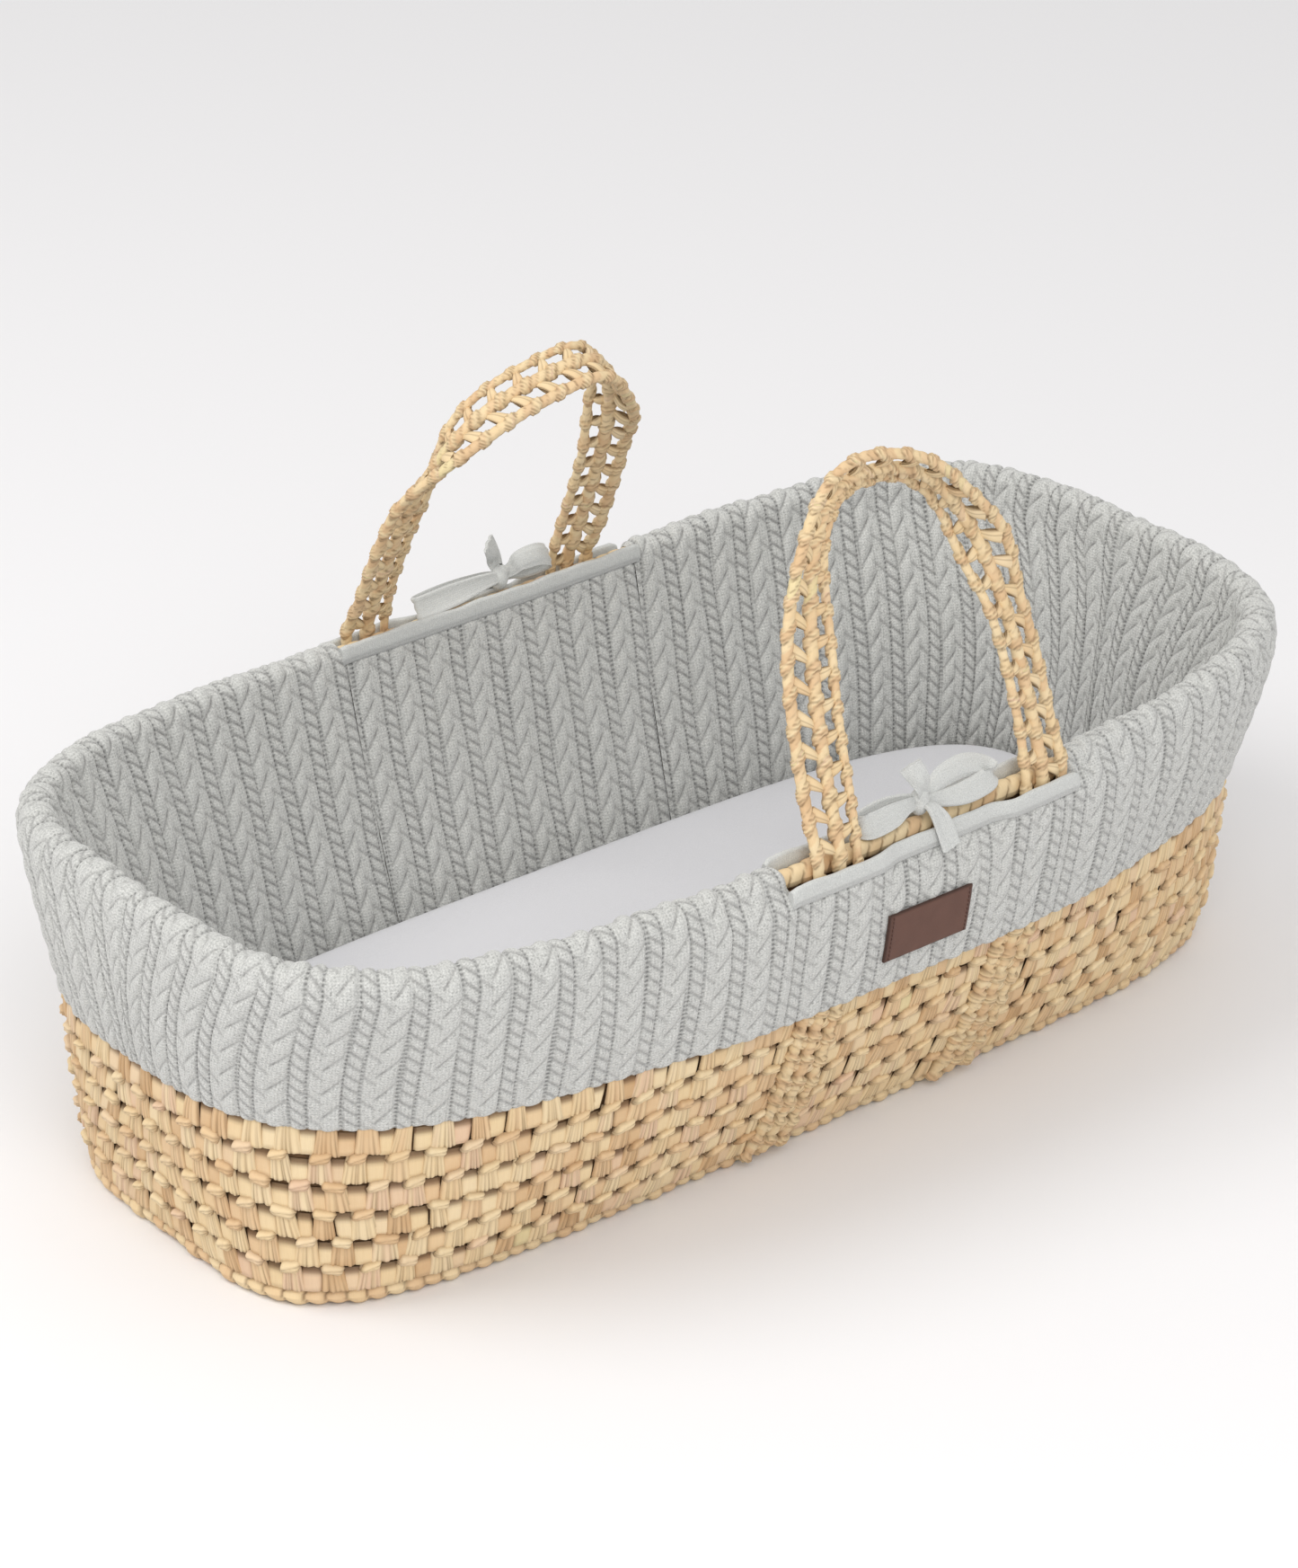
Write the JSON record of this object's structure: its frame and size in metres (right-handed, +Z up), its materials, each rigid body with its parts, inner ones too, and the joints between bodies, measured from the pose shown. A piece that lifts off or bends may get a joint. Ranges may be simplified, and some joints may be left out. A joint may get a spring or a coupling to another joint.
{
  "type": "moses basket",
  "caption": "Oblong woven palm-leaf baby basket with flaring sides, two braided carry handles, a knitted liner tied at the handles and a fitted mattress.",
  "frame": {"origin": "centre of the overall bounding box, on the surface the basket stands on", "axes": "+X along the length towards the slightly higher end, +Y towards the back, so the side with the leather label faces -Y, +Z up"},
  "size_m": [0.8495, 0.4584, 0.4563],
  "materials": {
    "palm_leaf": "dry natural palm leaf, matt with a slight sheen on the flat strips",
    "cable_knit": "pale heather-grey cotton cable knit",
    "jersey_binding": "plain pale-grey jersey binding with one stitch line",
    "jersey_tie": "plain pale-grey jersey strip, tied in a bow",
    "leather": "plain dark-brown leather, matt, no mark",
    "foam": "foam and fibre core",
    "jersey_sheet": "plain pale-grey jersey fitted sheet",
    "elastic": "covered elastic"
  },
  "bodies": {
    "basket": {"base_mat": "palm_leaf", "base_edge_coil": "palm_leaf", "palm_wall": "palm_leaf", "rim_coil": "palm_leaf", "front_left_wall_strap": "palm_leaf", "front_right_wall_strap": "palm_leaf", "back_left_wall_strap": "palm_leaf", "back_right_wall_strap": "palm_leaf", "left_base_strap": "palm_leaf", "right_base_strap": "palm_leaf", "liner_left_end_panel": "cable_knit", "liner_right_end_panel": "cable_knit", "liner_front_skirt_panel": "cable_knit", "liner_front_inner_panel": "cable_knit", "liner_back_skirt_panel": "cable_knit", "liner_back_inner_panel": "cable_knit", "liner_front_outer_binding": "jersey_binding", "liner_front_inner_binding": "jersey_binding", "liner_back_outer_binding": "jersey_binding", "liner_back_inner_binding": "jersey_binding", "front_inner_tie": "jersey_tie", "front_outer_tie": "jersey_tie", "back_inner_tie": "jersey_tie", "back_outer_tie": "jersey_tie", "skirt_hem_elastic": "jersey_binding", "leather_label": "leather"},
    "front_handle": {"front_handle_outer_cord": "palm_leaf", "front_handle_middle_cord": "palm_leaf", "front_handle_inner_cord": "palm_leaf"},
    "back_handle": {"back_handle_outer_cord": "palm_leaf", "back_handle_middle_cord": "palm_leaf", "back_handle_inner_cord": "palm_leaf"},
    "mattress": {"mattress_core": "foam", "mattress_sheet": "jersey_sheet", "sheet_elastic": "elastic"}
  },
  "joints": [
    {"name": "front_handle_fold", "type": "hinge", "parent": "basket", "child": "front_handle", "pos_m": [0.034, -0.2195, 0.2395], "axis": [-1, 0, 0], "range_deg": [-100, 34]},
    {"name": "back_handle_fold", "type": "hinge", "parent": "basket", "child": "back_handle", "pos_m": [0.006, 0.2195, 0.2395], "axis": [1, 0, 0], "range_deg": [-108, 27]},
    {"name": "mattress_lift", "type": "slide", "parent": "basket", "child": "mattress", "axis": [0, 0, 1], "range_m": [0, 0.17]}
  ]
}
